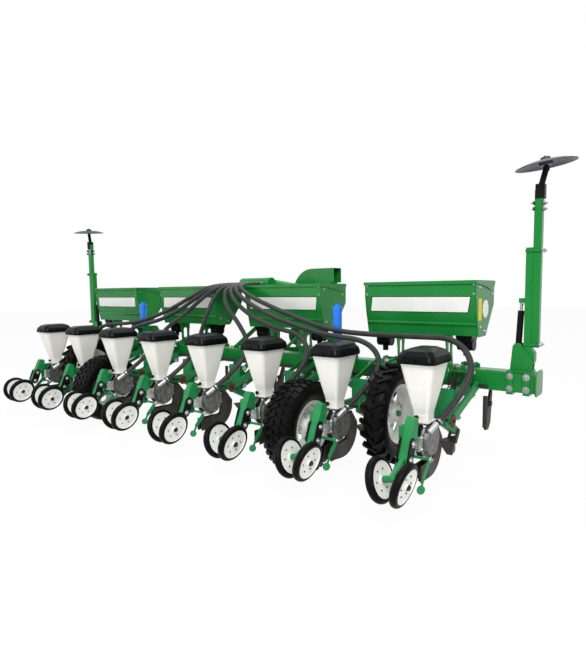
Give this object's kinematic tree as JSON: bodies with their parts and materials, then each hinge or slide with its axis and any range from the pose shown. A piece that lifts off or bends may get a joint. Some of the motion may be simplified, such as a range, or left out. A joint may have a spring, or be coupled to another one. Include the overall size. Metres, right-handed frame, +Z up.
{
  "type": "row crop planter",
  "caption": "Mounted row crop planter: toolbar with vacuum seed units and press wheels, fertilizer hoppers, fan, lugged drive wheels, transport wheels and folding row markers.",
  "frame": {"origin": "on the ground, at the middle of the machine's length and width", "axes": "+X to the machine's right along the toolbar, +Y forward to the tractor, +Z up"},
  "size_m": [6.3482, 2.3951, 2.3712],
  "materials": {
    "green_paint": "gloss",
    "dark_paint": "satin",
    "cast_alloy": "as cast",
    "cream_plastic": "satin",
    "black_plastic": "satin",
    "tyre": "matte",
    "white_paint": "satin",
    "press_rubber": "matte",
    "blue_paint": "gloss",
    "steel": "worn",
    "hose": "satin"
  },
  "bodies": {
    "frame": {"toolbar": "green_paint", "bar_brackets": "green_paint", "headstock": "green_paint", "unit_links": "green_paint", "unit_frames": "green_paint", "seed_meters": "cast_alloy", "seed_hoppers": "cream_plastic", "soil_openers": "dark_paint", "drive_shafts": "dark_paint", "wheel_arms": "green_paint", "lift_cylinders": "blue_paint", "fertilizer_hoppers": "green_paint", "hopper_stands": "green_paint", "fertilizer_meters": "black_plastic", "fan_housing": "green_paint", "vacuum_hoses": "hose"},
    "press_wheel_1_left": {"press_wheel_1_left": "press_rubber"},
    "press_wheel_1_right": {"press_wheel_1_right": "press_rubber"},
    "press_wheel_2_left": {"press_wheel_2_left": "press_rubber"},
    "press_wheel_2_right": {"press_wheel_2_right": "press_rubber"},
    "press_wheel_3_left": {"press_wheel_3_left": "press_rubber"},
    "press_wheel_3_right": {"press_wheel_3_right": "press_rubber"},
    "press_wheel_4_left": {"press_wheel_4_left": "press_rubber"},
    "press_wheel_4_right": {"press_wheel_4_right": "press_rubber"},
    "press_wheel_5_left": {"press_wheel_5_left": "press_rubber"},
    "press_wheel_5_right": {"press_wheel_5_right": "press_rubber"},
    "press_wheel_6_left": {"press_wheel_6_left": "press_rubber"},
    "press_wheel_6_right": {"press_wheel_6_right": "press_rubber"},
    "press_wheel_7_left": {"press_wheel_7_left": "press_rubber"},
    "press_wheel_7_right": {"press_wheel_7_right": "press_rubber"},
    "press_wheel_8_left": {"press_wheel_8_left": "press_rubber"},
    "press_wheel_8_right": {"press_wheel_8_right": "press_rubber"},
    "transport_wheel_left": {"transport_tyre_left": "tyre", "transport_rim_left": "white_paint"},
    "drive_wheel_left": {"drive_tyre_left": "tyre", "drive_rim_left": "white_paint"},
    "transport_wheel_right": {"transport_tyre_right": "tyre", "transport_rim_right": "white_paint"},
    "drive_wheel_right": {"drive_tyre_right": "tyre", "drive_rim_right": "white_paint"},
    "seed_lid_1": {"seed_lid_1": "black_plastic"},
    "seed_lid_2": {"seed_lid_2": "black_plastic"},
    "seed_lid_3": {"seed_lid_3": "black_plastic"},
    "seed_lid_4": {"seed_lid_4": "black_plastic"},
    "seed_lid_5": {"seed_lid_5": "black_plastic"},
    "seed_lid_6": {"seed_lid_6": "black_plastic"},
    "seed_lid_7": {"seed_lid_7": "black_plastic"},
    "seed_lid_8": {"seed_lid_8": "black_plastic"},
    "fertilizer_lid_1": {"fertilizer_lid_1": "green_paint"},
    "fertilizer_lid_2": {"fertilizer_lid_2": "green_paint"},
    "fertilizer_lid_3": {"fertilizer_lid_3": "green_paint"},
    "fertilizer_lid_4": {"fertilizer_lid_4": "green_paint"},
    "marker_arm_left": {"marker_arm_left": "green_paint"},
    "marker_disc_left": {"marker_disc_left": "steel"},
    "marker_barrel_left": {"marker_barrel_left": "dark_paint"},
    "marker_rod_left": {"marker_rod_left": "steel"},
    "marker_arm_right": {"marker_arm_right": "green_paint"},
    "marker_disc_right": {"marker_disc_right": "steel"},
    "marker_barrel_right": {"marker_barrel_right": "dark_paint"},
    "marker_rod_right": {"marker_rod_right": "steel"}
  },
  "joints": [
    {"name": "press_wheel_1_left_spin", "type": "hinge", "parent": "frame", "child": "press_wheel_1_left", "pos_m": [-2.528, -1.0545, 0.3046], "axis": [-0.9659, 0, -0.2588], "continuous": true},
    {"name": "press_wheel_1_right_spin", "type": "hinge", "parent": "frame", "child": "press_wheel_1_right", "pos_m": [-2.372, -1.0545, 0.3046], "axis": [0.9659, 0, -0.2588], "continuous": true},
    {"name": "press_wheel_2_left_spin", "type": "hinge", "parent": "frame", "child": "press_wheel_2_left", "pos_m": [-1.828, -1.0545, 0.3046], "axis": [-0.9659, 0, -0.2588], "continuous": true},
    {"name": "press_wheel_2_right_spin", "type": "hinge", "parent": "frame", "child": "press_wheel_2_right", "pos_m": [-1.672, -1.0545, 0.3046], "axis": [0.9659, 0, -0.2588], "continuous": true},
    {"name": "press_wheel_3_left_spin", "type": "hinge", "parent": "frame", "child": "press_wheel_3_left", "pos_m": [-1.128, -1.0545, 0.3046], "axis": [-0.9659, 0, -0.2588], "continuous": true},
    {"name": "press_wheel_3_right_spin", "type": "hinge", "parent": "frame", "child": "press_wheel_3_right", "pos_m": [-0.972, -1.0545, 0.3046], "axis": [0.9659, 0, -0.2588], "continuous": true},
    {"name": "press_wheel_4_left_spin", "type": "hinge", "parent": "frame", "child": "press_wheel_4_left", "pos_m": [-0.428, -1.0545, 0.3046], "axis": [-0.9659, 0, -0.2588], "continuous": true},
    {"name": "press_wheel_4_right_spin", "type": "hinge", "parent": "frame", "child": "press_wheel_4_right", "pos_m": [-0.272, -1.0545, 0.3046], "axis": [0.9659, 0, -0.2588], "continuous": true},
    {"name": "press_wheel_5_left_spin", "type": "hinge", "parent": "frame", "child": "press_wheel_5_left", "pos_m": [0.272, -1.0545, 0.3046], "axis": [-0.9659, 0, -0.2588], "continuous": true},
    {"name": "press_wheel_5_right_spin", "type": "hinge", "parent": "frame", "child": "press_wheel_5_right", "pos_m": [0.428, -1.0545, 0.3046], "axis": [0.9659, 0, -0.2588], "continuous": true},
    {"name": "press_wheel_6_left_spin", "type": "hinge", "parent": "frame", "child": "press_wheel_6_left", "pos_m": [0.972, -1.0545, 0.3046], "axis": [-0.9659, 0, -0.2588], "continuous": true},
    {"name": "press_wheel_6_right_spin", "type": "hinge", "parent": "frame", "child": "press_wheel_6_right", "pos_m": [1.128, -1.0545, 0.3046], "axis": [0.9659, 0, -0.2588], "continuous": true},
    {"name": "press_wheel_7_left_spin", "type": "hinge", "parent": "frame", "child": "press_wheel_7_left", "pos_m": [1.672, -1.0545, 0.3046], "axis": [-0.9659, 0, -0.2588], "continuous": true},
    {"name": "press_wheel_7_right_spin", "type": "hinge", "parent": "frame", "child": "press_wheel_7_right", "pos_m": [1.828, -1.0545, 0.3046], "axis": [0.9659, 0, -0.2588], "continuous": true},
    {"name": "press_wheel_8_left_spin", "type": "hinge", "parent": "frame", "child": "press_wheel_8_left", "pos_m": [2.372, -1.0545, 0.3046], "axis": [-0.9659, 0, -0.2588], "continuous": true},
    {"name": "press_wheel_8_right_spin", "type": "hinge", "parent": "frame", "child": "press_wheel_8_right", "pos_m": [2.528, -1.0545, 0.3046], "axis": [0.9659, 0, -0.2588], "continuous": true},
    {"name": "transport_wheel_left_spin", "type": "hinge", "parent": "frame", "child": "transport_wheel_left", "pos_m": [-1.4, -0.5375, 0.372], "axis": [1, 0, 0], "continuous": true},
    {"name": "drive_wheel_left_spin", "type": "hinge", "parent": "frame", "child": "drive_wheel_left", "pos_m": [-2.1, -0.3275, 0.532], "axis": [1, 0, 0], "continuous": true},
    {"name": "transport_wheel_right_spin", "type": "hinge", "parent": "frame", "child": "transport_wheel_right", "pos_m": [1.4, -0.5375, 0.372], "axis": [1, 0, 0], "continuous": true},
    {"name": "drive_wheel_right_spin", "type": "hinge", "parent": "frame", "child": "drive_wheel_right", "pos_m": [2.1, -0.3275, 0.532], "axis": [1, 0, 0], "continuous": true},
    {"name": "seed_lid_1_hinge", "type": "hinge", "parent": "frame", "child": "seed_lid_1", "pos_m": [-2.45, -0.4045, 0.963], "axis": [-1, 0, 0], "range_deg": [0, 90]},
    {"name": "seed_lid_2_hinge", "type": "hinge", "parent": "frame", "child": "seed_lid_2", "pos_m": [-1.75, -0.4045, 0.963], "axis": [-1, 0, 0], "range_deg": [0, 90]},
    {"name": "seed_lid_3_hinge", "type": "hinge", "parent": "frame", "child": "seed_lid_3", "pos_m": [-1.05, -0.4045, 0.963], "axis": [-1, 0, 0], "range_deg": [0, 90]},
    {"name": "seed_lid_4_hinge", "type": "hinge", "parent": "frame", "child": "seed_lid_4", "pos_m": [-0.35, -0.4045, 0.963], "axis": [-1, 0, 0], "range_deg": [0, 90]},
    {"name": "seed_lid_5_hinge", "type": "hinge", "parent": "frame", "child": "seed_lid_5", "pos_m": [0.35, -0.4045, 0.963], "axis": [-1, 0, 0], "range_deg": [0, 90]},
    {"name": "seed_lid_6_hinge", "type": "hinge", "parent": "frame", "child": "seed_lid_6", "pos_m": [1.05, -0.4045, 0.963], "axis": [-1, 0, 0], "range_deg": [0, 90]},
    {"name": "seed_lid_7_hinge", "type": "hinge", "parent": "frame", "child": "seed_lid_7", "pos_m": [1.75, -0.4045, 0.963], "axis": [-1, 0, 0], "range_deg": [0, 90]},
    {"name": "seed_lid_8_hinge", "type": "hinge", "parent": "frame", "child": "seed_lid_8", "pos_m": [2.45, -0.4045, 0.963], "axis": [-1, 0, 0], "range_deg": [0, 90]},
    {"name": "fertilizer_lid_1_hinge", "type": "hinge", "parent": "frame", "child": "fertilizer_lid_1", "pos_m": [-2.1, 0.5035, 1.496], "axis": [-1, 0, 0], "range_deg": [0, 100]},
    {"name": "fertilizer_lid_2_hinge", "type": "hinge", "parent": "frame", "child": "fertilizer_lid_2", "pos_m": [-0.7, 0.5035, 1.496], "axis": [-1, 0, 0], "range_deg": [0, 100]},
    {"name": "fertilizer_lid_3_hinge", "type": "hinge", "parent": "frame", "child": "fertilizer_lid_3", "pos_m": [0.7, 0.5035, 1.496], "axis": [-1, 0, 0], "range_deg": [0, 100]},
    {"name": "fertilizer_lid_4_hinge", "type": "hinge", "parent": "frame", "child": "fertilizer_lid_4", "pos_m": [2.1, 0.5035, 1.496], "axis": [-1, 0, 0], "range_deg": [0, 100]},
    {"name": "marker_fold_left", "type": "hinge", "parent": "frame", "child": "marker_arm_left", "pos_m": [-2.906, 0.2325, 0.926], "axis": [0, -1, 0], "range_deg": [0, 105]},
    {"name": "marker_disc_spin_left", "type": "hinge", "parent": "marker_arm_left", "child": "marker_disc_left", "pos_m": [-2.972, 0.2325, 2.336], "axis": [0.104, -0.104, 0.9891], "continuous": true},
    {"name": "marker_barrel_swing_left", "type": "hinge", "parent": "frame", "child": "marker_barrel_left", "pos_m": [-2.826, 0.2325, 1.026], "axis": [0, -1, 0], "range_deg": [0, 104.03]},
    {"name": "marker_rod_slide_left", "type": "slide", "parent": "marker_barrel_left", "child": "marker_rod_left", "axis": [-0.0478, 0, 0.9989], "range_m": [0, 0.2034]},
    {"name": "marker_fold_right", "type": "hinge", "parent": "frame", "child": "marker_arm_right", "pos_m": [2.906, 0.2325, 0.926], "axis": [0, 1, 0], "range_deg": [0, 105]},
    {"name": "marker_disc_spin_right", "type": "hinge", "parent": "marker_arm_right", "child": "marker_disc_right", "pos_m": [2.972, 0.2325, 2.336], "axis": [-0.104, -0.104, 0.9891], "continuous": true},
    {"name": "marker_barrel_swing_right", "type": "hinge", "parent": "frame", "child": "marker_barrel_right", "pos_m": [2.826, 0.2325, 1.026], "axis": [0, 1, 0], "range_deg": [0, 104.03]},
    {"name": "marker_rod_slide_right", "type": "slide", "parent": "marker_barrel_right", "child": "marker_rod_right", "axis": [0.0478, 0, 0.9989], "range_m": [0, 0.2034]}
  ],
  "couplings": [
    {"joint": "marker_barrel_swing_left", "follows": "marker_fold_left", "ratio": 0.98595},
    {"joint": "marker_rod_slide_left", "follows": "marker_fold_left", "m_per_rad": 0.11072},
    {"joint": "marker_barrel_swing_right", "follows": "marker_fold_right", "ratio": 0.98595},
    {"joint": "marker_rod_slide_right", "follows": "marker_fold_right", "m_per_rad": 0.11072}
  ]
}
